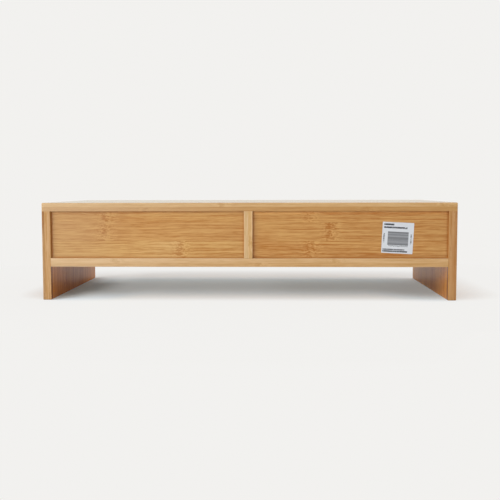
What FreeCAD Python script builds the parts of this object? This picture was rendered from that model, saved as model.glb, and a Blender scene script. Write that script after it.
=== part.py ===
# Bamboo desktop stand with two drawers, built up board by board as a joiner would.
# Millimetres. X runs across the stand, Y from its front (-Y, the drawer fronts) to its back,
# Z up. The origin lies on the table under the middle of the stand.
# Each board is drawn from its own lower left front corner and then placed in the stand.
import FreeCAD, Part
import os
import re
import Sketcher
from FreeCAD import Placement, Rotation, Vector

# Every driving size, with what it means. They fill the spreadsheet, and all boards follow them.
SIZES = {
    "overall_width": (510, "across the whole stand"),
    "overall_depth": (250, "front to back of the whole stand"),
    "overall_height": (120, "table to the top face"),
    "top_thickness": (10.5, "top board"),
    "side_thickness": (10.5, "side panels, which are also the legs"),
    "shelf_thickness": (10.5, "board that carries the drawers"),
    "divider_thickness": (10.5, "upright between the two drawers"),
    "leg_clearance": (41, "free height under the shelf"),
    "outer_round": (1.5, "radius along the top edges and the upright outer corners"),
    "arris": (0.4, "small bevel along the other edges that a hand meets"),
    "back_thickness": (6, "fixed back panels"),
    "back_recess": (4, "how far the back panels lie inside the back edges"),
    "back_groove_depth": (4, "grooves that hold the back panels"),
    "panel_slack": (0.1, "room on each face of a panel in its groove"),
    "panel_end_room": (0.4, "room beyond each edge of a panel in its groove"),
    "dowel_diameter": (5, "hidden dowels of the stand"),
    "dowel_length": (22, "hidden dowels of the stand"),
    "dowel_in_face": (7.5, "how much of a dowel enters the face of a board"),
    "dowel_bevel": (0.6, "bevel on the ends of dowels and pins"),
    "drill_slack": (0.1, "how much wider a hole is drilled than its dowel or pin"),
    "drill_end_room": (0.5, "how much deeper a blind hole is than its dowel or pin"),
    "side_dowel_inset": (30, "from a front or back edge to the nearest dowel of a side joint"),
    "side_dowels": (3, "dowels in each joint of a side panel"),
    "divider_dowel_inset": (45, "from a front or back edge to the nearest dowel of the divider"),
    "divider_dowels": (2, "dowels at each end of the divider"),
    "drawer_side_gap": (1, "between a drawer and the upright beside it"),
    "drawer_running_gap": (0.3, "between a drawer's sides and the shelf"),
    "front_gap": (1, "above and below a drawer front"),
    "front_setback": (0.5, "how far a closed drawer front lies inside the front edges"),
    "stop_gap": (0.5, "between a closed drawer and the back panel that stops it"),
    "front_thickness": (10.5, "drawer fronts"),
    "drawer_side_thickness": (8, "drawer sides"),
    "drawer_back_thickness": (8, "drawer backs"),
    "drawer_headroom": (9.7, "between a drawer's sides or back and the top board"),
    "floor_thickness": (4, "drawer floors"),
    "floor_height": (5, "from the lower edge of a drawer side to its floor groove"),
    "floor_groove_depth": (4, "grooves that hold a drawer floor"),
    "rebate_depth": (6, "how far a drawer side enters the drawer front"),
    "glue_gap": (0.1, "glue line of the drawer joints"),
    "finger_pairs": (2, "fingers that each drawer side has at its back corner"),
    "pin_diameter": (3, "bamboo pins that lock the front corners of a drawer"),
    "pin_length": (20, "bamboo pins that lock the front corners of a drawer"),
    "pin_inset": (14, "from the upper or lower edge of a drawer side to its pin"),
    "notch_width": (40, "finger notch in a drawer front, along the upper edge"),
    "notch_depth": (14, "finger notch in a drawer front, at its middle"),
    "notch_shoulder": (5, "radius where the notch runs out into the upper edge"),
    "front_round": (1, "radius around the face of a drawer front"),
}

# Sizes and places that follow from the driving sizes.
SIDE_HEIGHT = "(overall_height - top_thickness)"
SHELF_TOP = "(leg_clearance + shelf_thickness)"
INNER_WIDTH = "(overall_width - 2 * side_thickness)"
BAY_WIDTH = f"(({INNER_WIDTH} - divider_thickness) / 2)"
BAY_HEIGHT = f"({SIDE_HEIGHT} - {SHELF_TOP})"
PANEL_TONGUE = "(back_groove_depth - panel_end_room)"
BACK_GROOVE_WIDTH = "(back_thickness + 2 * panel_slack)"
BACK_GROOVE_START = "(overall_depth - back_recess - back_thickness - panel_slack)"
DOWEL_BORE = "(dowel_diameter + drill_slack)"
DOWEL_IN_EDGE = "(dowel_length - dowel_in_face)"
SIDE_DOWEL_SPAN = "(overall_depth - 2 * side_dowel_inset)"
DIVIDER_DOWEL_SPAN = "(overall_depth - 2 * divider_dowel_inset)"
DRAWER_WIDTH = f"({BAY_WIDTH} - 2 * drawer_side_gap)"
DRAWER_LENGTH = "(overall_depth - back_recess - back_thickness - front_setback - stop_gap)"
FRONT_HEIGHT = f"({BAY_HEIGHT} - 2 * front_gap)"
FRONT_RISE = "(front_gap - drawer_running_gap)"
FRONT_LIP = "(front_thickness - rebate_depth)"
DRAWER_SIDE_LENGTH = f"({DRAWER_LENGTH} - {FRONT_LIP} - glue_gap)"
DRAWER_SIDE_HEIGHT = f"({BAY_HEIGHT} - drawer_running_gap - drawer_headroom)"
FLOOR_TONGUE = "(floor_groove_depth - panel_end_room)"
FLOOR_GROOVE_WIDTH = "(floor_thickness + 2 * panel_slack)"
FINGER = f"({DRAWER_SIDE_HEIGHT} / (2 * round(finger_pairs) + 1))"
PIN_BORE = "(pin_diameter + drill_slack)"
PIN_SPAN = f"({DRAWER_SIDE_HEIGHT} - 2 * pin_inset)"
NOTCH_RADIUS = "((notch_width ^ 2 / 4 + notch_depth ^ 2) / (2 * notch_depth))"

TOUCH = 1e-4
ALIAS = re.compile(r"\b(" + "|".join(SIZES) + r")\b")

doc = FreeCAD.newDocument("desktop_drawer_stand")
sheet = doc.addObject("Spreadsheet::Sheet", "Sizes")
sub_parts = []


def fill_sheet():
    """One row for each driving size: its alias, its value and what it means."""
    for row, (alias, (value, meaning)) in enumerate(SIZES.items(), start=1):
        sheet.set(f"A{row}", alias)
        sheet.set(f"B{row}", str(value))
        sheet.set(f"C{row}", meaning)
        sheet.setAlias(f"B{row}", alias)
    doc.recompute()


def linked(formula):
    """The formula as an expression that reads the spreadsheet."""
    return ALIAS.sub(r"Sizes.\1", formula)


def bind(item, path, formula):
    item.setExpression(path, linked(formula))


def value_of(formula):
    return float(sheet.evalExpression(linked(formula)))


def new_board(label):
    body = doc.addObject("PartDesign::Body", label)
    body.Label = label
    sub_parts.append(body)
    return body


def place(body, across, along, up, rotation=Rotation()):
    """Puts a finished board in the stand, by formulas for its corner."""
    body.Placement = Placement(Vector(0, 0, 0), rotation)
    for axis, formula in zip("xyz", (across, along, up)):
        bind(body, f"Placement.Base.{axis}", formula)


def sketch_on(body, name, role, offset="0"):
    """A sketch on one of the body's own origin planes, shifted along that plane's normal."""
    sketch = body.newObject("Sketcher::SketchObject", name)
    plane = next(item for item in body.Origin.OriginFeatures if item.Role == role)
    sketch.AttachmentSupport = (plane, [""])
    sketch.MapMode = "FlatFace"
    bind(sketch, "AttachmentOffset.Base.z", offset)
    return sketch


def constrain(sketch, kind, arguments, formula=None):
    """Adds a constraint; one with a formula gets its value from the spreadsheet."""
    if formula is None:
        sketch.addConstraint(Sketcher.Constraint(kind, *arguments))
        return
    index = sketch.addConstraint(Sketcher.Constraint(kind, *arguments, value_of(formula)))
    name = f"size{index}"
    sketch.renameConstraint(index, name)
    bind(sketch, f"Constraints.{name}", formula)


def add_rectangle(sketch, left, low, width, height):
    x0, y0, dx, dy = (value_of(formula) for formula in (left, low, width, height))
    corners = [Vector(x0, y0), Vector(x0 + dx, y0), Vector(x0 + dx, y0 + dy), Vector(x0, y0 + dy)]
    lines = []
    for start, end in zip(corners, corners[1:] + corners[:1]):
        lines.append(sketch.addGeometry(Part.LineSegment(start, end), False))
    bottom, right, top, left_line = lines
    for line, following in zip(lines, lines[1:] + lines[:1]):
        constrain(sketch, "Coincident", (line, 2, following, 1))
    for line in (bottom, top):
        constrain(sketch, "Horizontal", (line,))
    for line in (right, left_line):
        constrain(sketch, "Vertical", (line,))
    constrain(sketch, "DistanceX", (-1, 1, bottom, 1), left)
    constrain(sketch, "DistanceY", (-1, 1, bottom, 1), low)
    constrain(sketch, "DistanceX", (bottom, 1, bottom, 2), width)
    constrain(sketch, "DistanceY", (right, 1, right, 2), height)


def add_circle(sketch, across, up, diameter):
    centre = Vector(value_of(across), value_of(up))
    circle = sketch.addGeometry(Part.Circle(centre, Vector(0, 0, 1), value_of(diameter) / 2), False)
    constrain(sketch, "DistanceX", (-1, 1, circle, 3), across)
    constrain(sketch, "DistanceY", (-1, 1, circle, 3), up)
    constrain(sketch, "Diameter", (circle,), diameter)


def pad(body, name, sketch, length, backwards=False):
    feature = body.newObject("PartDesign::Pad", name)
    feature.Profile = sketch
    feature.Reversed = backwards
    bind(feature, "Length", length)
    doc.recompute()
    return feature


def cut(body, name, sketch, depth, along_normal=False):
    """Cuts a sketch into the board, against the sketch's normal unless told otherwise."""
    before = body.Shape.Volume
    feature = body.newObject("PartDesign::Pocket", name)
    feature.Profile = sketch
    feature.Reversed = along_normal
    bind(feature, "Length", depth)
    doc.recompute()
    if body.Shape.Volume > before - TOUCH:
        raise RuntimeError(f"{body.Label}: {name} removes nothing")
    return feature


def drill(body, name, sketch, diameter, depth, along_normal=False):
    """A flat-bottomed hole at each circle of the sketch."""
    before = body.Shape.Volume
    feature = body.newObject("PartDesign::Hole", name)
    feature.Profile = sketch
    feature.DepthType = "Dimension"
    feature.DrillPoint = "Flat"
    feature.Reversed = along_normal
    bind(feature, "Diameter", diameter)
    bind(feature, "Depth", depth)
    doc.recompute()
    if body.Shape.Volume > before - TOUCH:
        raise RuntimeError(f"{body.Label}: {name} removes nothing")
    return feature


def repeat(body, name, feature, sketch, axis, count, span):
    """A row of a feature, or of the whole piece if that is None, spread evenly over the span."""
    row = body.newObject("PartDesign::LinearPattern", name)
    if feature is None:
        row.TransformMode = "Whole shape"
    else:
        row.Originals = [feature]
    row.Direction = (sketch, [axis])
    bind(row, "Occurrences", count)
    bind(row, "Length", span)
    body.Tip = row
    doc.recompute()
    return row


def edges_where(body, test):
    """The names of the body's edges whose bounding boxes pass the test."""
    names = []
    for index, edge in enumerate(body.Shape.Edges, start=1):
        if test(edge.BoundBox):
            names.append(f"Edge{index}")
    return names


def ease(body, kind, name, size, edges):
    """Rounds (Fillet) or bevels (Chamfer) the edges."""
    sharp = body.Tip
    feature = body.newObject(f"PartDesign::{kind}", name)
    feature.Base = (sharp, edges)
    bind(feature, "Radius" if kind == "Fillet" else "Size", size)
    doc.recompute()
    if not body.Shape.isValid():
        raise RuntimeError(f"{body.Label}: {name} fails")


def near(one, other):
    return abs(one - other) < TOUCH


def flat_at(axis, formulas):
    """A test for edges that lie wholly in one of the planes across the axis."""
    values = [value_of(formula) for formula in formulas]

    def test(box):
        low, high = getattr(box, axis + "Min"), getattr(box, axis + "Max")
        return any(near(low, value) and near(high, value) for value in values)
    return test


def both(*tests):
    return lambda box: all(test(box) for test in tests)


def dowel_row(body, name, plane, offset, across, inset, count, span, depth, into_plane):
    """Drills a row of dowel holes along Y in the plane, from one that lies inset from the front."""
    sketch = sketch_on(body, f"{name}Centre", plane, offset)
    if plane == "XY_Plane":
        add_circle(sketch, across, inset, DOWEL_BORE)
        axis = "V_Axis"
    else:
        add_circle(sketch, inset, across, DOWEL_BORE)
        axis = "H_Axis"
    hole = drill(body, f"{name}Hole", sketch, DOWEL_BORE, f"{depth} + drill_end_room", into_plane)
    repeat(body, f"{name}Holes", hole, sketch, axis, f"round({count})", span)


def side_dowel_row(body, name, plane, offset, across, depth, into_plane):
    dowel_row(body, name, plane, offset, across, "side_dowel_inset", "side_dowels", SIDE_DOWEL_SPAN,
              depth, into_plane)


def divider_dowel_row(body, name, offset, across, depth, into_plane):
    dowel_row(body, name, "XY_Plane", offset, across, "divider_dowel_inset", "divider_dowels",
              DIVIDER_DOWEL_SPAN, depth, into_plane)


def top_board():
    body = new_board("top_board")
    outline = sketch_on(body, "TopOutline", "XY_Plane")
    add_rectangle(outline, "0", "0", "overall_width", "overall_depth")
    pad(body, "TopSlab", outline, "top_thickness")
    groove = sketch_on(body, "TopGrooveOutline", "XY_Plane")
    add_rectangle(groove, "side_thickness - back_groove_depth", BACK_GROOVE_START,
                  f"{INNER_WIDTH} + 2 * back_groove_depth", BACK_GROOVE_WIDTH)
    cut(body, "TopBackGroove", groove, "back_groove_depth", True)
    for name, across in (("TopLeft", "side_thickness / 2"),
                         ("TopRight", "overall_width - side_thickness / 2")):
        side_dowel_row(body, name, "XY_Plane", "0", across, "dowel_in_face", True)
    divider_dowel_row(body, "TopMiddle", "0", "overall_width / 2", "dowel_in_face", True)
    upright = both(lambda box: near(box.ZLength, value_of("top_thickness")),
                   flat_at("X", ("0", "overall_width")))
    ease(body, "Fillet", "TopCorners", "outer_round", edges_where(body, upright))
    ease(body, "Fillet", "TopEdges", "outer_round",
         edges_where(body, flat_at("Z", ("top_thickness",))))
    place(body, "-overall_width / 2", "-overall_depth / 2", SIDE_HEIGHT)


def side_panel(label, is_left):
    """A side panel. Its inner face, which holds the groove and the shelf dowels, looks inwards."""
    body = new_board(label)
    outer, inner = ("0", "side_thickness") if is_left else ("side_thickness", "0")
    outline = sketch_on(body, "SideOutline", "YZ_Plane")
    add_rectangle(outline, "0", "0", "overall_depth", SIDE_HEIGHT)
    pad(body, "SideSlab", outline, "side_thickness")
    groove = sketch_on(body, "SideGrooveOutline", "YZ_Plane", inner)
    add_rectangle(groove, BACK_GROOVE_START, f"{SHELF_TOP} - back_groove_depth",
                  BACK_GROOVE_WIDTH, f"{BAY_HEIGHT} + back_groove_depth")
    cut(body, "SideBackGroove", groove, "back_groove_depth", not is_left)
    side_dowel_row(body, "SideShelf", "YZ_Plane", inner, "leg_clearance + shelf_thickness / 2",
                   "dowel_in_face", not is_left)
    side_dowel_row(body, "SideTop", "XY_Plane", SIDE_HEIGHT, "side_thickness / 2", DOWEL_IN_EDGE, False)
    upright = both(lambda box: box.ZLength > value_of(SIDE_HEIGHT) - TOUCH,
                   flat_at("Y", ("0", "overall_depth")))
    ease(body, "Fillet", "SideCorners", "outer_round",
         edges_where(body, both(upright, flat_at("X", (outer,)))))
    ease(body, "Chamfer", "SideArris", "arris",
         edges_where(body, both(upright, flat_at("X", (inner,)))))
    ease(body, "Chamfer", "SideFoot", "arris", edges_where(body, flat_at("Z", ("0",))))
    across = "-overall_width / 2" if is_left else "overall_width / 2 - side_thickness"
    place(body, across, "-overall_depth / 2", "0")


def shelf():
    body = new_board("shelf")
    outline = sketch_on(body, "ShelfOutline", "XY_Plane")
    add_rectangle(outline, "0", "0", INNER_WIDTH, "overall_depth")
    pad(body, "ShelfSlab", outline, "shelf_thickness")
    groove = sketch_on(body, "ShelfGrooveOutline", "XY_Plane", "shelf_thickness")
    add_rectangle(groove, "0", BACK_GROOVE_START, INNER_WIDTH, BACK_GROOVE_WIDTH)
    cut(body, "ShelfBackGroove", groove, "back_groove_depth")
    side_dowel_row(body, "ShelfLeft", "YZ_Plane", "0", "shelf_thickness / 2", DOWEL_IN_EDGE, True)
    side_dowel_row(body, "ShelfRight", "YZ_Plane", INNER_WIDTH, "shelf_thickness / 2", DOWEL_IN_EDGE,
                   False)
    divider_dowel_row(body, "ShelfMiddle", "shelf_thickness", f"{INNER_WIDTH} / 2", "dowel_in_face",
                      False)
    long_edges = both(lambda box: near(box.XLength, value_of(INNER_WIDTH)),
                      flat_at("Y", ("0", "overall_depth")))
    ease(body, "Chamfer", "ShelfArris", "arris", edges_where(body, long_edges))
    place(body, "-overall_width / 2 + side_thickness", "-overall_depth / 2", "leg_clearance")


def centre_divider():
    body = new_board("centre_divider")
    outline = sketch_on(body, "DividerOutline", "YZ_Plane")
    add_rectangle(outline, "0", "0", "overall_depth", BAY_HEIGHT)
    pad(body, "DividerSlab", outline, "divider_thickness")
    for name, offset, into_plane in (("Left", "0", True), ("Right", "divider_thickness", False)):
        groove = sketch_on(body, f"Divider{name}GrooveOutline", "YZ_Plane", offset)
        add_rectangle(groove, BACK_GROOVE_START, "0", BACK_GROOVE_WIDTH, BAY_HEIGHT)
        cut(body, f"Divider{name}Groove", groove, "back_groove_depth", into_plane)
    divider_dowel_row(body, "DividerFoot", "0", "divider_thickness / 2", DOWEL_IN_EDGE, True)
    divider_dowel_row(body, "DividerHead", BAY_HEIGHT, "divider_thickness / 2", DOWEL_IN_EDGE, False)
    upright = both(lambda box: near(box.ZLength, value_of(BAY_HEIGHT)),
                   flat_at("Y", ("0", "overall_depth")))
    ease(body, "Chamfer", "DividerArris", "arris", edges_where(body, upright))
    place(body, "-divider_thickness / 2", "-overall_depth / 2", SHELF_TOP)


def back_panel(label, bay_left):
    body = new_board(label)
    outline = sketch_on(body, "PanelOutline", "XZ_Plane")
    add_rectangle(outline, "0", "0", f"{BAY_WIDTH} + 2 * {PANEL_TONGUE}",
                  f"{BAY_HEIGHT} + 2 * {PANEL_TONGUE}")
    pad(body, "PanelSlab", outline, "back_thickness", True)
    place(body, f"{bay_left} - {PANEL_TONGUE}",
          "overall_depth / 2 - back_recess - back_thickness", f"{SHELF_TOP} - {PANEL_TONGUE}")


def dowels(label, count, span, across, inset, up, rotation=Rotation()):
    """A row of dowels along Y, each with bevelled ends, standing on its end unless turned."""
    body = new_board(label)
    section = sketch_on(body, "DowelSection", "XY_Plane")
    add_circle(section, "0", "0", "dowel_diameter")
    pad(body, "Dowel", section, "dowel_length")
    ease(body, "Chamfer", "DowelEnds", "dowel_bevel",
         edges_where(body, flat_at("Z", ("0", "dowel_length"))))
    repeat(body, "DowelRow", None, section, "V_Axis", f"round({count})", span)
    place(body, across, f"{inset} - overall_depth / 2", up, rotation)


def stand_dowels():
    """The six rows of hidden dowels: top to sides and divider, shelf to sides and divider."""
    lying = Rotation(Vector(0, 1, 0), 90)
    top_row = f"{SIDE_HEIGHT} - {DOWEL_IN_EDGE}"
    shelf_row = "leg_clearance + shelf_thickness / 2"
    side = ("side_dowels", SIDE_DOWEL_SPAN)
    divider = ("divider_dowels", DIVIDER_DOWEL_SPAN)
    dowels("top_left_dowels", *side, "(side_thickness - overall_width) / 2", "side_dowel_inset", top_row)
    dowels("top_right_dowels", *side, "(overall_width - side_thickness) / 2", "side_dowel_inset", top_row)
    dowels("top_middle_dowels", *divider, "0", "divider_dowel_inset", top_row)
    dowels("shelf_left_dowels", *side, "side_thickness - overall_width / 2 - dowel_in_face",
           "side_dowel_inset", shelf_row, lying)
    dowels("shelf_right_dowels", *side,
           f"overall_width / 2 - side_thickness - {DOWEL_IN_EDGE}", "side_dowel_inset", shelf_row, lying)
    dowels("shelf_middle_dowels", *divider, "0", "divider_dowel_inset", f"{SHELF_TOP} - dowel_in_face")


def pin_holes(body, name, offset, along, low, along_normal, depth):
    """Two holes, one above the other, for the pins of one front corner."""
    sketch = sketch_on(body, f"{name}Centre", "YZ_Plane", offset)
    add_circle(sketch, along, low, PIN_BORE)
    hole = drill(body, f"{name}Hole", sketch, PIN_BORE, depth, along_normal)
    repeat(body, f"{name}Holes", hole, sketch, "V_Axis", "2", PIN_SPAN)


def drawer_front(label, across):
    """The front: rebates for the sides, a groove for the floor, pin holes and the finger notch."""
    body = new_board(label)
    outline = sketch_on(body, "FrontOutline", "XZ_Plane")
    add_rectangle(outline, "0", "0", DRAWER_WIDTH, FRONT_HEIGHT)
    pad(body, "FrontSlab", outline, "front_thickness", True)
    rebates = sketch_on(body, "RebateOutline", "XY_Plane")
    rebate_width = "(drawer_side_thickness + glue_gap)"
    for left in ("0", f"{DRAWER_WIDTH} - {rebate_width}"):
        add_rectangle(rebates, left, FRONT_LIP, rebate_width, "rebate_depth")
    rebate_height = f"({DRAWER_SIDE_HEIGHT} - {FRONT_RISE} + glue_gap)"
    cut(body, "Rebates", rebates, rebate_height, True)
    groove = sketch_on(body, "FrontGrooveOutline", "YZ_Plane", "drawer_side_thickness")
    add_rectangle(groove, "front_thickness - floor_groove_depth", f"floor_height - {FRONT_RISE}",
                  "floor_groove_depth", FLOOR_GROOVE_WIDTH)
    cut(body, "FrontGroove", groove, f"{DRAWER_WIDTH} - 2 * drawer_side_thickness", True)
    for name, offset, along_normal in (("FrontLeft", "0", True), ("FrontRight", DRAWER_WIDTH, False)):
        pin_holes(body, name, offset, "front_thickness - rebate_depth / 2",
                  f"pin_inset - {FRONT_RISE}", along_normal, "pin_length + drill_end_room")
    notch = sketch_on(body, "NotchOutline", "XZ_Plane")
    add_circle(notch, f"{DRAWER_WIDTH} / 2", f"{FRONT_HEIGHT} - notch_depth + {NOTCH_RADIUS}",
               f"2 * {NOTCH_RADIUS}")
    cut(body, "Notch", notch, "front_thickness")
    middle = value_of(f"{DRAWER_WIDTH} / 2")
    reach = value_of("notch_width") / 2
    shoulder = both(flat_at("Z", (FRONT_HEIGHT,)), lambda box: near(box.XLength, 0),
                    lambda box: near(abs(box.XMin - middle), reach))
    ease(body, "Fillet", "NotchShoulders", "notch_shoulder", edges_where(body, shoulder))
    ease(body, "Fillet", "FrontFaceRound", "front_round", edges_where(body, flat_at("Y", ("0",))))
    upper_edge = both(flat_at("Y", ("front_thickness",)), lambda box: box.XLength > TOUCH,
                      lambda box: box.ZMax > value_of(rebate_height) + TOUCH)
    ease(body, "Chamfer", "FrontInnerArris", "arris", edges_where(body, upper_edge))
    place(body, across, "front_setback - overall_depth / 2", f"{SHELF_TOP} + front_gap")


def drawer_side(label, is_left, across):
    """A side: it runs from the front's lip to the back, where its fingers end."""
    body = new_board(label)
    inner = "drawer_side_thickness" if is_left else "0"
    outline = sketch_on(body, "SideOutline", "YZ_Plane")
    add_rectangle(outline, "0", "0", DRAWER_SIDE_LENGTH, DRAWER_SIDE_HEIGHT)
    pad(body, "SideSlab", outline, "drawer_side_thickness")
    long_edges = both(lambda box: near(box.YLength, value_of(DRAWER_SIDE_LENGTH)),
                      flat_at("X", ("0", "drawer_side_thickness")))
    ease(body, "Chamfer", "SideArris", "arris", edges_where(body, long_edges))
    sockets = sketch_on(body, "SocketOutline", "YZ_Plane")
    add_rectangle(sockets, f"{DRAWER_SIDE_LENGTH} - drawer_back_thickness - glue_gap", "-glue_gap / 2",
                  "drawer_back_thickness + glue_gap", f"{FINGER} + glue_gap")
    socket = cut(body, "Socket", sockets, "drawer_side_thickness", True)
    repeat(body, "Sockets", socket, sockets, "V_Axis", "round(finger_pairs) + 1",
           f"2 * round(finger_pairs) * {FINGER}")
    groove = sketch_on(body, "SideGrooveOutline", "YZ_Plane", inner)
    add_rectangle(groove, "0", "floor_height", DRAWER_SIDE_LENGTH, FLOOR_GROOVE_WIDTH)
    cut(body, "SideGroove", groove, "floor_groove_depth", not is_left)
    pin_holes(body, "SidePin", "0", "rebate_depth / 2 - glue_gap", "pin_inset", True,
              "drawer_side_thickness")
    place(body, across, f"front_setback + {FRONT_LIP} + glue_gap - overall_depth / 2",
          f"{SHELF_TOP} + drawer_running_gap")


def drawer_back(label, across):
    """The back: its fingers fill the sockets of both sides, and its groove stops inside them."""
    body = new_board(label)
    outline = sketch_on(body, "BackOutline", "XZ_Plane")
    add_rectangle(outline, "0", "0", DRAWER_WIDTH, DRAWER_SIDE_HEIGHT)
    pad(body, "BackSlab", outline, "drawer_back_thickness", True)
    long_edges = both(lambda box: near(box.XLength, value_of(DRAWER_WIDTH)),
                      flat_at("Y", ("0", "drawer_back_thickness")))
    ease(body, "Chamfer", "BackArris", "arris", edges_where(body, long_edges))
    sockets = sketch_on(body, "SocketOutline", "XZ_Plane")
    socket_width = "(drawer_side_thickness + glue_gap)"
    for left in ("0", f"{DRAWER_WIDTH} - {socket_width}"):
        add_rectangle(sockets, left, f"{FINGER} - glue_gap / 2", socket_width, f"{FINGER} + glue_gap")
    socket = cut(body, "Socket", sockets, "drawer_back_thickness")
    repeat(body, "Sockets", socket, sockets, "V_Axis", "round(finger_pairs)",
           f"2 * (round(finger_pairs) - 1) * {FINGER}")
    groove = sketch_on(body, "BackGrooveOutline", "XZ_Plane")
    end_wood = "(drawer_side_thickness - floor_groove_depth)"
    add_rectangle(groove, end_wood, "floor_height", f"{DRAWER_WIDTH} - 2 * {end_wood}",
                  FLOOR_GROOVE_WIDTH)
    cut(body, "BackGroove", groove, "floor_groove_depth")
    place(body, across, f"front_setback + {DRAWER_LENGTH} - drawer_back_thickness - overall_depth / 2",
          f"{SHELF_TOP} + drawer_running_gap")


def drawer_floor(label, across):
    body = new_board(label)
    outline = sketch_on(body, "FloorOutline", "XY_Plane")
    add_rectangle(outline, "0", "0",
                  f"{DRAWER_WIDTH} - 2 * drawer_side_thickness + 2 * {FLOOR_TONGUE}",
                  f"{DRAWER_LENGTH} - front_thickness - drawer_back_thickness + 2 * {FLOOR_TONGUE}")
    pad(body, "FloorSlab", outline, "floor_thickness")
    place(body, f"{across} + drawer_side_thickness - {FLOOR_TONGUE}",
          f"front_setback + front_thickness - {FLOOR_TONGUE} - overall_depth / 2",
          f"{SHELF_TOP} + drawer_running_gap + floor_height + panel_slack")


def drawer_pins(label, across):
    """Four pins, two in each front corner, flush with the outside of the drawer sides."""
    body = new_board(label)
    section = sketch_on(body, "PinSection", "YZ_Plane")
    add_circle(section, "0", "0", "pin_diameter")
    pad(body, "Pin", section, "pin_length")
    ease(body, "Chamfer", "PinEnds", "dowel_bevel", edges_where(body, flat_at("X", ("0", "pin_length"))))
    pins = repeat(body, "Pins", None, section, "V_Axis", "2", PIN_SPAN)
    pins.Direction2 = (section, ["N_Axis"])
    bind(pins, "Occurrences2", "2")
    bind(pins, "Length2", f"{DRAWER_WIDTH} - pin_length")
    place(body, across, "front_setback + front_thickness - rebate_depth / 2 - overall_depth / 2",
          f"{SHELF_TOP} + drawer_running_gap + pin_inset")


def drawer(name, bay_left):
    left = f"({bay_left} + drawer_side_gap)"
    drawer_front(f"{name}_drawer_front", left)
    drawer_side(f"{name}_drawer_left_side", True, left)
    drawer_side(f"{name}_drawer_right_side", False,
                f"{left} + {DRAWER_WIDTH} - drawer_side_thickness")
    drawer_back(f"{name}_drawer_back", left)
    drawer_floor(f"{name}_drawer_floor", left)
    drawer_pins(f"{name}_drawer_pins", left)


def check_and_write():
    """Stops at a failed object or a bad shape; otherwise writes one STEP file for each sub-part."""
    doc.recompute()
    for item in doc.Objects:
        if "Invalid" in item.State or "Error" in item.State:
            raise RuntimeError(f"{item.Label} is {item.State}")
    for body in sub_parts:
        if body.Shape.isNull() or not body.Shape.isValid() or not body.Shape.Solids:
            raise RuntimeError(f"{body.Label} has no valid solid")
    os.makedirs("parts", exist_ok=True)
    for body in sub_parts:
        body.Shape.exportStep(f"parts/{body.Label}.step")
        print(f"{body.Label}: {len(body.Shape.Solids)} solid(s), {body.Shape.Volume / 1000:.2f} cm3")


fill_sheet()
LEFT_BAY = "(side_thickness - overall_width / 2)"
RIGHT_BAY = "(divider_thickness / 2)"
top_board()
side_panel("left_side_panel", True)
side_panel("right_side_panel", False)
shelf()
centre_divider()
back_panel("left_back_panel", LEFT_BAY)
back_panel("right_back_panel", RIGHT_BAY)
stand_dowels()
drawer("left", LEFT_BAY)
drawer("right", RIGHT_BAY)
check_and_write()
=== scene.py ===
import math
from collections import namedtuple

import bmesh
import bpy
from mathutils import Euler, Matrix, Vector


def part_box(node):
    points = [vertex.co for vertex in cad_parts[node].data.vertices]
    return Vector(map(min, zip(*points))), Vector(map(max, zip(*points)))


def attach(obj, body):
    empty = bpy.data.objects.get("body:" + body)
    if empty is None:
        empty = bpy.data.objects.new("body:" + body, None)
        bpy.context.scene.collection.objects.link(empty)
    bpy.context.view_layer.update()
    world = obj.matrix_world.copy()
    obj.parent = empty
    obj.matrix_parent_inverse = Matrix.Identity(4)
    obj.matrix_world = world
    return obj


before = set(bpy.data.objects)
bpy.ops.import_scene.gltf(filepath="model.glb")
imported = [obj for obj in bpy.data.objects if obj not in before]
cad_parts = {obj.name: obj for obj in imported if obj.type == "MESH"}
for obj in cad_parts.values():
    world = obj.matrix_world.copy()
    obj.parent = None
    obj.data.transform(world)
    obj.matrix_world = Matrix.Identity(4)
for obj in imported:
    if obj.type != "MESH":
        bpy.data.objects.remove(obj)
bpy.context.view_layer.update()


def reach(node_name, axis):
    """Lowest and highest coordinate of a CAD node along an axis, rounded to a micrometre."""
    return [round(corner["XYZ".index(axis)], 6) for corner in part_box(node_name)]


# The photograph's camera, in metres and radians. It stands behind the stand, close to its middle,
# and looks slightly down. Image-right is -X.
CAMERA_PLACE = Vector((-0.029463, 1.115335, 0.136205))
CAMERA_PITCH = 0.074819
CAMERA_YAW = 0.027458
CAMERA_ROLL = 0.00153
FOCAL_PX = 809.17
FRAME_PX = 500
SENSOR_MM = 36.0

# Places in the frame, in metres
TOP_UNDER, TOP_OVER = reach("top_board", "Z")
SHELF_UNDER, SHELF_OVER = reach("shelf", "Z")
LEFT_OUTSIDE, LEFT_INSIDE = reach("left_side_panel", "X")
RIGHT_INSIDE, RIGHT_OUTSIDE = reach("right_side_panel", "X")
DIVIDER_LEFT, DIVIDER_RIGHT = reach("centre_divider", "X")
DRAWER_FACE = reach("left_drawer_front", "Y")[0]
PANEL_BACK = reach("right_back_panel", "Y")[1]
STAND_BACK = reach("top_board", "Y")[1]

# The bamboo's layout, in metres. Plies are given by the place where the first one starts and by
# their thickness. SINGLE_PLY reaches past both faces of a back panel, and STRIP_SEAM is the
# height of a seam on it. Each ply's seams lie PLY_SHIFT of a strip away from the last ply's.
STRIP = 0.0227
STRIP_SEAM = 0.0503
PLY = (TOP_OVER - TOP_UNDER) / 2
PLY_SHIFT = 0.37
LEG_PLY = 0.0032
SINGLE_PLY = (0.11, 0.02)
KNUCKLE_SPACING = 0.27
KNUCKLE_REACH = 0.011
KNUCKLE_BAND = 0.0035
FIBRE_DRIFT = 0.0042
FIBRE_WAVE = 0.006
GROOVE_SHADE = 0.0035

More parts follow.
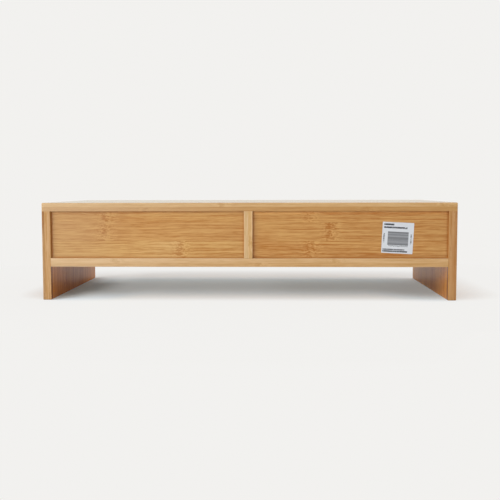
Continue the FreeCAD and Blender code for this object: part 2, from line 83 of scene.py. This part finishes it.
# Linear colours of the surroundings: what the camera sees behind the stand, and what the lacquer
# mirrors
BACKDROP = (0.888, 0.880, 0.862)
MIRRORED = (0.795, 0.845, 0.815)
FLOOR_DARK = (0.83, 0.825, 0.815)
FLOOR_PALE = (0.87, 0.865, 0.855)
COOL_SHADE = (0.60, 0.82, 1.0)

# Linear colours of the bamboo and the label
FACE_PALE = (0.625, 0.345, 0.108)
FACE_DARK = (0.40, 0.136, 0.013)
EDGE_PALE = (0.68, 0.44, 0.20)
EDGE_DARK = (0.53, 0.29, 0.085)
END_GRAIN = (0.36, 0.19, 0.075)
# painted shade near the grooves round a back panel
PAINTED_RECESS_SHADE = (0.36, 0.115, 0.010)
# painted sheen towards a board's lit end
PAINTED_SHEEN_COLOUR = (0.74, 0.62, 0.45)
CREAM = (0.80, 0.56, 0.26)
# painted shade in the corner of a leg's inner face below the shelf
PAINTED_CORNER_SHADE = (0.15, 0.045, 0.006)
# painted sheen, greyer and paler, at one panel's lit end
PAINTED_GREY_SHEEN = (0.45, 0.295, 0.17)
PAPER = (0.745, 0.775, 0.82)
INK = (0.06, 0.063, 0.072)

# A tint multiplies a colour
UNTINTED = (1.0, 1.0, 1.0)

LACQUER = {"Specular IOR Level": 0.45, "Coat Weight": 0.25, "Coat Roughness": 0.12}
TOP_LACQUER = {"Specular IOR Level": 0.2, "Coat Weight": 1.0, "Coat Roughness": 0.17}
THIN_LACQUER = {"Specular IOR Level": 0.10, "Coat Weight": 0.28, "Coat Roughness": 0.055}
PAPER_SHINE = {"Specular IOR Level": 0.3}

# The stand's shadow on the floor, in metres: its middle and half its width along X, and how far it
# goes from the stand's middle towards the drawers' side and towards the back
SHADOW_MIDDLE, SHADOW_HALF = -0.012, 0.22
SHADOW_FRONT, SHADOW_BACK = 0.17, 0.145

# The label's size and place, in metres
LABEL_WIDE, LABEL_THICK, LABEL_HIGH = 0.0383, 0.00015, 0.0382
LABEL_CORNER = 0.0003
LABEL_GAP = 0.00003
LABEL_X, LABEL_Z = -0.18300, 0.0766
LABEL_TURN = math.radians(-2.9)

# A painted sheen: a paler colour that grows along a board towards its lit end, with its share at
# the end, the colour, and where it starts and ends
SheenPaint = namedtuple("SheenPaint", "share colour start end")
# The painted sheen of the top board and the shelf, paler towards +X where the lamps light them
PAINTED_SHEEN_END = SheenPaint(0.24, PAINTED_SHEEN_COLOUR, start=-0.12, end=0.27)

# A strip of a back panel: where its knuckle lies along X, how dark that is, how creamy the wood
# past it is, and the strip's tint. A panel's strips are listed from the lowest up.
Strip = namedtuple("Strip", "knuckle mark cream tint")

# A leg: a painted warmer tint of its inner face below the shelf, standing in for bounce light in
# the shade there, and a stain on its outer plies, with the heights between which the stain grows
# or fades
Leg = namedtuple("Leg", "skin stain stained_plies stain_slopes")

# Painted shade and light on a back panel: how far it darkens near the grooves at the bay's -X,
# +X, lower and upper side, where the frame shades it, and how much painted light brightens it
# just below the top board
PaintedRecessShade = namedtuple("PaintedRecessShade", "left right lower upper lift")


class Field:
    """One output of a shader graph: a value that differs from point to point."""

    def __init__(self, tree, socket):
        self.tree = tree
        self.socket = socket

    def sibling(self, output):
        """Another output of the same node."""
        return Field(self.tree, self.socket.node.outputs[output])

    def math(self, operation, *others):
        return node(self.tree, "ShaderNodeMath", [self, *others], operation=operation)

    def __add__(self, other):
        return self.math("ADD", other)

    def __sub__(self, other):
        return self.math("SUBTRACT", other)

    def __mul__(self, other):
        return self.math("MULTIPLY", other)

    def __truediv__(self, other):
        return self.math("DIVIDE", other)

    def below(self, limit):
        """How far the value is below the limit."""
        return self * -1.0 + limit

    def floor(self):
        return self.math("FLOOR")

    def size(self):
        return self.math("ABSOLUTE")

    def above(self, limit):
        """1 where the value is above the limit, otherwise 0."""
        return self.math("GREATER_THAN", limit)

    def at_least(self, other):
        return self.math("MAXIMUM", other)

    def at_most(self, other):
        return self.math("MINIMUM", other)

    def bell(self, width):
        """1 where the value is 0, falling to a third at width on either side."""
        share = self / width
        return (share * share * -1.0).math("EXPONENT")

    def ramp(self, start, end, low=0.0, high=1.0):
        """Runs smoothly from low at start to high at end, and stays there beyond them."""
        return node(self.tree, "ShaderNodeMapRange", [self, start, end, low, high],
                    interpolation_type="SMOOTHSTEP")


def node(tree, kind, inputs, output=0, **settings):
    """Adds a node and returns one of its outputs. inputs is a list, or a dict by name or number."""
    made = tree.nodes.new(kind)
    for name, value in settings.items():
        setattr(made, name, value)
    pairs = inputs.items() if isinstance(inputs, dict) else enumerate(inputs)
    for key, value in pairs:
        if isinstance(value, Field):
            tree.links.new(value.socket, made.inputs[key])
        else:
            made.inputs[key].default_value = value
    return Field(tree, made.outputs[output])


def coordinates(tree, output="Object"):
    """The object's own coordinates, or its own normal, as three fields."""
    vector = node(tree, "ShaderNodeTexCoord", [], output=output)
    return split(tree, vector)


def split(tree, vector):
    x = node(tree, "ShaderNodeSeparateXYZ", [vector])
    return {axis: x.sibling(axis) for axis in "XYZ"}


def join(tree, x, y, z):
    return node(tree, "ShaderNodeCombineXYZ", [x, y, z])


def mix(tree, factor, first, second, blend_type="MIX"):
    def colour(value):
        return value if isinstance(value, Field) else (*value, 1.0)

    return node(tree, "ShaderNodeMix", {0: factor, 6: colour(first), 7: colour(second)}, output=2,
                data_type="RGBA", blend_type=blend_type)


def noise(tree, vector, detail=1.0, roughness=0.5, distortion=0.0):
    return node(tree, "ShaderNodeTexNoise",
                {"Vector": vector, "Scale": 1.0, "Detail": detail, "Roughness": roughness,
                 "Distortion": distortion}, output="Fac")


def choose(index, values):
    """The value of the list that the whole-number field index names."""
    chosen = index * 0.0 + values[0]
    for i in range(1, len(values)):
        chosen = chosen + index.above(i - 0.5) * (values[i] - values[i - 1])
    return chosen


def new_tree(name):
    material = bpy.data.materials.new(name)
    material.use_nodes = True
    material.node_tree.nodes.clear()
    return material, material.node_tree


def show(tree, shader, kind="ShaderNodeOutputMaterial"):
    out = tree.nodes.new(kind)
    tree.links.new(shader.socket, out.inputs["Surface"])


def finish_surface(tree, colour, roughness, bump, strength, distance, shine):
    normal = node(tree, "ShaderNodeBump",
                  {"Strength": strength, "Distance": distance, "Height": bump})
    show(tree, node(tree, "ShaderNodeBsdfPrincipled",
                    {"Base Color": colour, "Roughness": roughness, "Normal": normal, **shine}))


class Grain:
    """Laminated bamboo as fields of a shader: strips side by side, in plies, with fibres.

    The strips run along one axis and lie side by side across another. The third axis, deep, goes
    through the plies.
    """

    def __init__(self, name, along, across, seed, plies, strip_start, strips=()):
        self.material, self.tree = new_tree(name)
        self.deep = ({"X", "Y", "Z"} - {along, across}).pop()
        xyz = coordinates(self.tree)
        self.run, self.side, self.depth = xyz[along], xyz[across], xyz[self.deep]
        self.lay_strips(plies, strip_start, seed)
        self.place_knuckles(strips)
        self.draw_fibres()
        self.colour_face(strips)

    def lay_strips(self, plies, strip_start, seed):
        ply_start, ply = plies
        self.layer = ((self.depth - ply_start) / ply).floor()
        lanes = (self.side - strip_start) / STRIP + self.layer * PLY_SHIFT
        self.lane = lanes.floor()
        self.seam = (lanes - self.lane - 0.5).size().ramp(0.490, 0.5)

        # Three random numbers for each strip of each ply
        cell = join(self.tree, self.lane + 0.5, self.layer + 0.5, float(seed))
        self.luck = split(self.tree, node(self.tree, "ShaderNodeTexWhiteNoise", {"Vector": cell},
                                          output="Color", noise_dimensions="3D"))
        self.shift = self.luck["Y"] * 30.0

    def place_knuckles(self, strips):
        if strips:
            start = choose(self.lane, [strip.knuckle for strip in strips])
        else:
            start = self.luck["X"] * KNUCKLE_SPACING
        turns = (self.run - start) / KNUCKLE_SPACING + 0.5
        self.from_knuckle = (turns - turns.floor() - 0.5) * KNUCKLE_SPACING
        self.near = self.from_knuckle.bell(KNUCKLE_REACH)

    def fibres(self, length, width, side=None, offset=0.0, **look):
        """Noise with so many waves per metre along the strips, and across them."""
        side = side or self.side
        vector = join(self.tree, self.run * length + self.shift, side * width + offset,
                      self.depth * width)
        return noise(self.tree, vector, **look)

    def draw_fibres(self):
        # They drift slowly from side to side, and wave near a knuckle
        run, side, luck = self.run, self.side, self.luck
        self.curl = noise(self.tree, join(self.tree, run * 130.0, side * 170.0, luck["Y"] * 50.0))
        drift = noise(self.tree, join(self.tree, run * 11.0, side * 22.0, luck["Z"] * 50.0))
        lateral = side + (drift - 0.5) * FIBRE_DRIFT + (self.curl - 0.5) * self.near * FIBRE_WAVE

        lines = self.fibres(9.0, 640.0, lateral, detail=2.0, roughness=0.55)
        wisps = self.fibres(55.0, 800.0, lateral, offset=7.0, detail=2.0, roughness=0.6)
        pores = self.fibres(90.0, 1500.0, lateral)
        self.broad = self.fibres(7.0, 190.0, lateral, offset=self.shift)
        streak = lines.ramp(0.36, 0.64) * 0.52 + wisps.ramp(0.38, 0.64) * 0.42
        streak = streak + self.broad.ramp(0.30, 0.70) * 0.24
        self.streak = streak - pores.ramp(0.56, 0.70) * 0.16

    def colour_face(self, strips):
        # A knuckle is a dark band with a pale halo before it and a knotty look around it
        waved = self.from_knuckle - 0.003 + (self.curl - 0.5) * FIBRE_WAVE
        self.band = waved.bell(KNUCKLE_BAND)
        halo = (self.from_knuckle + 0.007).bell(0.006)
        knots = self.fibres(230.0, 430.0, distortion=1.0).ramp(0.38, 0.62) - 0.5
        if strips:
            mark = choose(self.lane, [strip.mark for strip in strips])
        else:
            mark = self.luck["X"] * 0.6 + 0.6
        light = self.streak + knots * self.near * (mark * 0.3 + 0.45)
        light = light + (self.luck["Z"] - 0.5) * 0.25 + halo * 0.12 - self.band * mark * 0.34
        self.light = light.ramp(-0.25, 1.15)
        self.face = mix(self.tree, self.light, FACE_DARK, FACE_PALE)

    def tinted(self, face, tint, lift=None):
        """The face's colour times the tint, darker in the seams and brighter by lift."""
        bright = self.seam * -0.10 + 1.0
        # Painted light, where given, brightens the colour
        if lift:
            bright = bright + lift
        return node(self.tree, "ShaderNodeVectorMath",
                    {0: mix(self.tree, 1.0, face, tint, "MULTIPLY"), "Scale": bright},
                    operation="SCALE")

    # Painted sheen: the colour turns paler towards one end of the board
    def add_sheen_paint(self, colour, sheen_paint):
        share = self.run.ramp(sheen_paint.start, sheen_paint.end, 0.0, sheen_paint.share)
        return mix(self.tree, share, colour, sheen_paint.colour)

    def finish(self, colour, lacquer):
        bump = self.streak - self.seam * 0.6 - self.band * 0.4
        finish_surface(self.tree, colour, self.streak * -0.10 + 0.52, bump, 0.10, 0.0003, lacquer)
        return self.material


def board(name, along, across, seed, plies=(0.0, PLY), strip_start=0.0, first_ply=UNTINTED,
          other_plies=UNTINTED, broad_face=None, leg=None, edge_contrast=0.85, mottling=0.5,
          wear_and_highlight=(0.15, 0.55), sheen_paint=None, lacquer=LACQUER):
    """The material of a board that shows its broad faces, the plies of its edges and its ends."""
    grain = Grain(name, along, across, seed, plies, strip_start)
    tree, run, side, layer = grain.tree, grain.run, grain.side, grain.layer
    normal = coordinates(tree, "Normal")
    on_edge = normal[grain.deep].size().ramp(0.85, 0.55)

    tint = mix(tree, layer.above(0.5), first_ply, other_plies)
    # Painted light: below the shelf the inner face is tinted warmer, for bounce light in its shade
    if leg:
        inner_ply = layer.above(2.5)
        below_shelf = run.ramp(SHELF_UNDER + 0.005, SHELF_UNDER + 0.003)
        broad_face = mix(tree, inner_ply * below_shelf, UNTINTED, leg.skin)
    if broad_face:
        tint = mix(tree, on_edge, broad_face, tint)
    if leg:
        stained = layer.above(leg.stained_plies - 0.5).below(1.0) * on_edge
        for slope in leg.stain_slopes:
            stained = stained * run.ramp(*slope)
        tint = mix(tree, stained, tint, leg.stain)

    # Edges are paler and more even, ends are brown, and arrises are pale, partly from wear and
    # partly as a painted highlight
    mottle = noise(tree, join(tree, run * 16.0 + grain.shift, side * 20.0, grain.depth * 260.0))
    soft = (grain.light - 0.5) * edge_contrast + (mottle - 0.5) * mottling + 0.5
    face = mix(tree, on_edge, grain.face, mix(tree, soft, EDGE_DARK, EDGE_PALE))
    end = normal[along].size().ramp(0.6, 0.85)
    face = mix(tree, end * 0.6, face, END_GRAIN)
    flat = normal["X"].size().at_least(normal["Y"].size()).at_least(normal["Z"].size())
    wear_and_highlight_mask = flat.ramp(0.98, 0.85) * grain.broad.ramp(0.35, 0.65, *wear_and_highlight)
    face = mix(tree, wear_and_highlight_mask, face, EDGE_PALE)
    # Painted shade: below the shelf the inner face darkens next to its back arris, where it is less
    # lit
    if leg:
        painted_corner_shade = inner_ply * run.ramp(SHELF_UNDER + 0.001, SHELF_UNDER - 0.0005)
        painted_corner_shade = painted_corner_shade * side.ramp(STAND_BACK - 0.0095, STAND_BACK - 0.004)
        painted_corner_shade = painted_corner_shade * on_edge.ramp(0.35, 0.15)
        face = mix(tree, painted_corner_shade * 0.9, face, PAINTED_CORNER_SHADE)

    colour = grain.tinted(face, tint)
    if sheen_paint:
        colour = grain.add_sheen_paint(colour, sheen_paint)
    return grain.finish(colour, lacquer)


def panel(name, seed, bay, strips, painted_recess_shade, sheen_paint=None):
    """The material of a back panel, whose single ply goes into grooves on all four sides."""
    grain = Grain(name, "X", "Z", seed, SINGLE_PLY, STRIP_SEAM, strips)
    tree, run, side, lane = grain.tree, grain.run, grain.side, grain.lane
    low, high = bay
    under_top = side.below(TOP_UNDER)

    tint = join(tree, *(choose(lane, channel) for channel in zip(*(s.tint for s in strips))))
    # Painted light: the panel is brighter just below the top board, which shades it
    lift = under_top.ramp(0.0003, 0.0014) * under_top.ramp(0.0025, 0.0052, painted_recess_shade.lift, 0.0)
    colour = grain.tinted(grain.face, tint, lift)
    if any(strip.cream for strip in strips):
        past = grain.from_knuckle.ramp(-0.006, 0.006) * grain.from_knuckle.ramp(0.085, 0.01)
        creamy = past * choose(lane, [strip.cream for strip in strips])
        creamy = creamy * grain.streak.ramp(0.2, 0.9, 0.5, 1.0)
        colour = mix(tree, creamy, colour, CREAM)
    if sheen_paint:
        colour = grain.add_sheen_paint(colour, sheen_paint)

    # Painted shade: near each groove the panel darkens, where the frame shades it
    corner = 0.0
    for inside, share in ((run - low, painted_recess_shade.left), (run.below(high), painted_recess_shade.right),
                          (side - SHELF_OVER, painted_recess_shade.lower), (under_top, painted_recess_shade.upper)):
        corner = inside.ramp(0.0, GROOVE_SHADE, share, 0.0).at_least(corner)
    colour = mix(tree, corner, colour, PAINTED_RECESS_SHADE)
    return grain.finish(colour, LACQUER)


def dress(node_name, material):
    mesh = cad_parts[node_name].data
    mesh.materials.clear()
    mesh.materials.append(material)


def dress_stand():
    dress("top_board", board(
        "top bamboo", "X", "Y", 11, plies=(TOP_UNDER, PLY), first_ply=(0.81, 0.665, 0.43),
        other_plies=(0.99, 0.945, 0.88), broad_face=(0.90, 0.89, 0.88), wear_and_highlight=(0.0, 0.2),
        sheen_paint=PAINTED_SHEEN_END, lacquer=TOP_LACQUER))
    # Its paler arrises are partly worn and partly a painted highlight
    # Painted light: the shelf's broad faces are paler, for the light on its top
    dress("shelf", board(
        "shelf bamboo", "X", "Y", 12, plies=(SHELF_UNDER, PLY), first_ply=(0.98, 0.93, 0.89),
        other_plies=(1.06, 1.06, 1.16), broad_face=(1.2, 1.4, 1.8), wear_and_highlight=(0.4, 0.8),
        sheen_paint=PAINTED_SHEEN_END))
    dress("left_side_panel", board(
        "left leg bamboo", "Z", "Y", 13, plies=(LEFT_OUTSIDE, LEG_PLY),
        first_ply=(0.74, 0.58, 0.50), other_plies=(0.83, 0.70, 0.63),
        leg=Leg(skin=(1.22, 0.96, 0.24), stain=(0.755, 0.58, 0.465), stained_plies=2,
                stain_slopes=((0.010, 0.028), (0.085, 0.062))),
        edge_contrast=1.2, mottling=0.9, lacquer=THIN_LACQUER))
    dress("right_side_panel", board(
        "right leg bamboo", "Z", "Y", 14, plies=(RIGHT_OUTSIDE, -LEG_PLY),
        first_ply=(0.74, 0.69, 0.76), other_plies=(0.905, 0.86, 0.945),
        leg=Leg(skin=(1.12, 0.75, 0.18), stain=(0.56, 0.42, 0.36), stained_plies=1,
                stain_slopes=((0.066, 0.104),)),
        edge_contrast=1.2, mottling=0.8, lacquer=THIN_LACQUER))
    dress("centre_divider", board(
        "divider bamboo", "Z", "Y", 15, plies=(DIVIDER_LEFT, PLY), first_ply=(1.12, 1.16, 1.30),
        other_plies=(1.08, 1.18, 1.46), edge_contrast=1.1, mottling=0.7))
    # Its greyer, paler +X end is a painted sheen.
    dress("right_back_panel", panel(
        "right panel bamboo", 16, bay=(DIVIDER_RIGHT, RIGHT_INSIDE),
        strips=[Strip(knuckle=0.0823, mark=1.1, cream=0.25, tint=(1.05, 1.11, 1.16)),
                Strip(knuckle=0.1771, mark=0.55, cream=0.08, tint=(0.985, 0.97, 0.965)),
                Strip(knuckle=0.1752, mark=0.8, cream=0.10, tint=(1.02, 1.02, 1.01))],
        painted_recess_shade=PaintedRecessShade(left=0.35, right=1.0, lower=0.5, upper=0.32, lift=0.09),
        sheen_paint=SheenPaint(0.25, PAINTED_GREY_SHEEN, start=0.12, end=0.235)))
    dress("left_back_panel", panel(
        "left panel bamboo", 17, bay=(LEFT_INSIDE, DIVIDER_LEFT),
        strips=[Strip(knuckle=-0.0778, mark=0.5, cream=0.0, tint=(1.06, 1.07, 1.06)),
                Strip(knuckle=-0.1024, mark=0.9, cream=0.0, tint=(1.01, 1.0, 0.97)),
                Strip(knuckle=-0.0766, mark=0.5, cream=0.0, tint=(1.02, 1.0, 0.96))],
        painted_recess_shade=PaintedRecessShade(left=0.6, right=0.65, lower=0.6, upper=0.13, lift=0.22)))
    pegs = board("dowel bamboo", "Z", "Y", 40)
    for joint in ("top_left", "top_right", "top_middle", "shelf_left", "shelf_right",
                  "shelf_middle"):
        dress(joint + "_dowels", pegs)


def dress_drawer(side, seed):
    dress(f"{side}_drawer_front", board(
        f"{side} drawer front bamboo", "X", "Z", seed, plies=(DRAWER_FACE, PLY),
        strip_start=STRIP_SEAM))
    other_pieces = (("left_side", "Y", "Z"), ("right_side", "Y", "Z"), ("back", "X", "Z"),
                    ("floor", "X", "Y"), ("pins", "X", "Y"))
    for i, (piece, along, across) in enumerate(other_pieces, start=1):
        dress(f"{side}_drawer_{piece}",
              board(f"{side} drawer {piece} bamboo", along, across, seed + i))


def add_label():
    """The retail label on the panel at image-right, printed with plain rules and bars."""
    mesh = bpy.data.meshes.new("retail_label")
    form = bmesh.new()
    bmesh.ops.create_cube(form, size=1.0)
    bmesh.ops.scale(form, vec=(LABEL_WIDE, LABEL_THICK, LABEL_HIGH), verts=form.verts)
    through = [edge for edge in form.edges
               if abs(edge.verts[0].co.y - edge.verts[1].co.y) > LABEL_THICK / 2]
    bmesh.ops.bevel(form, geom=through, offset=LABEL_CORNER, segments=2, affect="EDGES")
    form.to_mesh(mesh)
    form.free()
    mesh.materials.append(label_paper())
    label = bpy.data.objects.new("retail_label", mesh)
    place = (LABEL_X, PANEL_BACK + LABEL_THICK / 2 + LABEL_GAP, LABEL_Z)
    label.matrix_world = Matrix.Translation(place) @ Matrix.Rotation(LABEL_TURN, 4, "Y")
    bpy.context.scene.collection.objects.link(label)
    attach(label, "stand")


def between(field, low, high, soft=0.00015):
    return field.ramp(low - soft, low + soft) * field.ramp(high + soft, high - soft)


def label_paper():
    """Pale paper with a block of bars and some broken rules. Places are from the label's middle."""
    material, tree = new_tree("label paper")
    xyz = coordinates(tree)
    across, up = xyz["X"] * -1.0, xyz["Z"]

    bars = node(tree, "ShaderNodeTexWhiteNoise", {"W": (up * 4200.0 + 0.3).floor()},
                output="Value", noise_dimensions="1D")
    block = between(across, -0.0122, 0.0131) * between(up, -0.0090, 0.0075)
    guards = (between(up, 0.0056, 0.0074) + between(up, -0.0010, 0.0006)
              + between(up, -0.0089, -0.0077))
    gap = between(up, 0.0012, 0.0026)
    code = ((bars.above(0.35) * 0.20 + 0.58) * (gap * -0.22 + 1.0)).at_least(guards * 0.80)
    ink = block * code * 0.97

    # From left to right, from low to high, and how broken
    level_rules = (
        (-0.0172, -0.0050, 0.0151, 0.0172, 0.34),
        (-0.0172, 0.0112, 0.0114, 0.0135, 0.36),
        (-0.0110, 0.0127, -0.0108, -0.0093, 0.52),
        (-0.0178, 0.0090, -0.0152, -0.0138, 0.38),
        (-0.0178, 0.0125, -0.0176, -0.0158, 0.34),
    )
    upright_rules = (
        (-0.0176, -0.0160, -0.0060, 0.0050, 0.46),
        (0.0156, 0.0172, -0.0070, 0.0050, 0.46),
    )
    for rules, first, second in ((level_rules, across, up), (upright_rules, up, across)):
        for left, right, low, high, broken in rules:
            breaks = noise(tree, join(tree, first * 1300.0, second * 500.0, left * 1000.0))
            rule = between(across, left, right) * between(up, low, high)
            ink = ink.at_least(rule * breaks.ramp(broken - 0.1, broken + 0.1))

    fibres = noise(tree, join(tree, xyz["X"] * 4000.0, up * 4000.0, 0.0), detail=3.0)
    blotch = noise(tree, join(tree, xyz["X"] * 90.0, up * 90.0, 4.0))
    paper = mix(tree, blotch * 0.5 + fibres * 0.3, PAPER, tuple(c * 0.93 for c in PAPER))
    finish_surface(tree, mix(tree, ink, paper, INK), fibres * 0.1 + 0.5, fibres, 0.05, 0.00005,
                   PAPER_SHINE)
    return material


def add_camera():
    data = bpy.data.cameras.new("camera")
    data.sensor_width = SENSOR_MM
    data.lens = FOCAL_PX / FRAME_PX * SENSOR_MM
    camera = bpy.data.objects.new("camera", data)
    camera.location = CAMERA_PLACE
    camera.rotation_euler = Euler((math.pi / 2 - CAMERA_PITCH, CAMERA_ROLL, math.pi + CAMERA_YAW))
    bpy.context.scene.collection.objects.link(camera)
    bpy.context.scene.camera = camera


def seen_ray(tree):
    """1 for what the camera, a reflection or a clear surface sees, 0 for light on things."""
    camera = node(tree, "ShaderNodeLightPath", [], output="Is Camera Ray")
    glossy = camera.sibling("Is Glossy Ray")
    return camera.at_least(glossy).at_least(camera.sibling("Is Transmission Ray"))


def add_world(strength):
    world = bpy.data.worlds.new("world")
    world.use_nodes = True
    tree = world.node_tree
    tree.nodes.clear()
    plain = node(tree, "ShaderNodeBackground", {"Color": (1.0, 1.0, 1.0, 1.0),
                                                "Strength": strength})
    glossy = node(tree, "ShaderNodeLightPath", [], output="Is Glossy Ray")
    shown = node(tree, "ShaderNodeBackground", {"Color": mix(tree, glossy, BACKDROP, MIRRORED),
                                                "Strength": 1.0})
    show(tree, node(tree, "ShaderNodeMixShader", [seen_ray(tree), plain, shown]),
         "ShaderNodeOutputWorld")
    bpy.context.scene.world = world


def beyond(field, edge):
    return (field - edge).at_least(0.0)


def hypotenuse(first, second):
    return (first * first + second * second).math("SQRT")


def floor_paper():
    """Pale paper that keeps the stand's shadow near it and turns into the backdrop further off."""
    material, tree = new_tree("floor paper")
    place = coordinates(tree)
    x, y = place["X"], place["Y"]
    off_middle = (x - SHADOW_MIDDLE).size()
    start = off_middle.ramp(0.14, SHADOW_HALF, -0.02, 0.05)

    # How far a point is outside the shadow: 1 where the shadow ends
    behind = ((y - start) / start.below(SHADOW_BACK)).at_least(0.0)
    aside = beyond(off_middle, SHADOW_HALF) / 0.095
    ahead = beyond(y * -1.0, SHADOW_FRONT) / 0.08
    away = behind * behind * 0.85 + aside * aside + ahead * ahead
    away = away + y.ramp(0.100, SHADOW_BACK, 0.0, 0.3)

    # The shadow under the stand is cooler
    past = beyond(y - start, 0.06) + beyond(y * -1.0, 0.08)
    cool = hypotenuse(beyond(off_middle, 0.230), past).ramp(0.0, 0.07, 1.0, 0.0)
    cool = cool * x.size().ramp(RIGHT_OUTSIDE + 0.007, RIGHT_INSIDE + 0.0015)
    grain = noise(tree, join(tree, x * 60.0, y * 60.0, 0.0), detail=2.0)
    seen = seen_ray(tree)
    tone = mix(tree, cool * seen, mix(tree, grain, FLOOR_DARK, FLOOR_PALE), COOL_SHADE)

    # The share of the backdrop's glow: some in the middle, more in a pocket beside the leg at +X,
    # which is painted light, and less at that leg's foot, which is a painted shadow
    middle = x.ramp(-0.08, 0.0, 0.25, 0.30) * x.ramp(0.236, 0.170, 0.14, 1.0)
    glow_share = middle + middle.below(0.95) * away.at_most(1.0)
    painted_light_pocket = x.ramp(0.165, 0.205) * (x + y * 0.05).ramp(0.238, 0.212)
    painted_light_pocket = painted_light_pocket * (y + 0.012).size().ramp(0.02, 0.11, 0.0, 0.26)
    glow_share = glow_share + glow_share.below(1.0) * painted_light_pocket
    painted_foot_shadow = x.ramp(RIGHT_INSIDE - 0.0185, RIGHT_INSIDE - 0.0015)
    painted_foot_shadow = painted_foot_shadow * x.ramp(RIGHT_OUTSIDE + 0.0005, RIGHT_OUTSIDE - 0.0005)
    painted_foot_shadow = painted_foot_shadow * y.size().ramp(STAND_BACK + 0.0025, STAND_BACK - 0.0005)
    glow_share = (glow_share * (painted_foot_shadow * -0.55 + 1.0)).at_least(away.ramp(0.9, 9.0))

    matt = node(tree, "ShaderNodeBsdfDiffuse", {"Color": tone})
    glow = node(tree, "ShaderNodeEmission", {"Color": (*BACKDROP, 1.0), "Strength": 1.0})
    show(tree, node(tree, "ShaderNodeMixShader", [glow_share * seen, matt, glow]))
    return material


def add_floor(half_size=6.0, gap=0.0002):
    mesh = bpy.data.meshes.new("floor")
    form = bmesh.new()
    bmesh.ops.create_grid(form, x_segments=1, y_segments=1, size=half_size)
    form.to_mesh(mesh)
    form.free()
    mesh.materials.append(floor_paper())
    floor = bpy.data.objects.new("floor", mesh)
    floor.location.z = -gap
    bpy.context.scene.collection.objects.link(floor)


def add_lamp(name, place, aim, size, power, mirrored=False):
    """Only a mirrored lamp shows in reflections, so the lacquer doesn't glare."""
    data = bpy.data.lights.new(name, "AREA")
    data.shape = "SQUARE"
    data.size = size
    data.energy = power
    lamp = bpy.data.objects.new(name, data)
    lamp.location = place
    lamp.visible_glossy = mirrored
    lamp.rotation_euler = (Vector(aim) - Vector(place)).to_track_quat("-Z", "Y").to_euler()
    bpy.context.scene.collection.objects.link(lamp)


def add_lamps():
    middle = (0.0, 0.0, 0.0)
    back_face = (0.0, 0.08, 0.05)
    drawer_face = (0.0, -0.1, 0.05)
    add_lamp("key", (1.4, 1.1, 0.9), back_face, size=1.0, power=15.0)
    add_lamp("sheen", (0.66, 1.4, 0.42), back_face, size=0.8, power=4.5)
    add_lamp("top", (0.0, 0.0, 1.5), middle, size=1.4, power=5.0, mirrored=True)
    add_lamp("back", (0.0, -1.0, 1.3), middle, size=1.4, power=2.5, mirrored=True)
    add_lamp("front", (-0.5, -1.6, 0.7), drawer_face, size=1.2, power=6.0)
    add_lamp("fill", (-1.6, 0.1, 0.8), back_face, size=1.0, power=10.0)


dress_stand()
dress_drawer("left", seed=20)
dress_drawer("right", seed=30)
add_label()
add_camera()
add_world(strength=0.33)
add_floor()
add_lamps()

bpy.context.scene.view_settings.view_transform = "Standard"
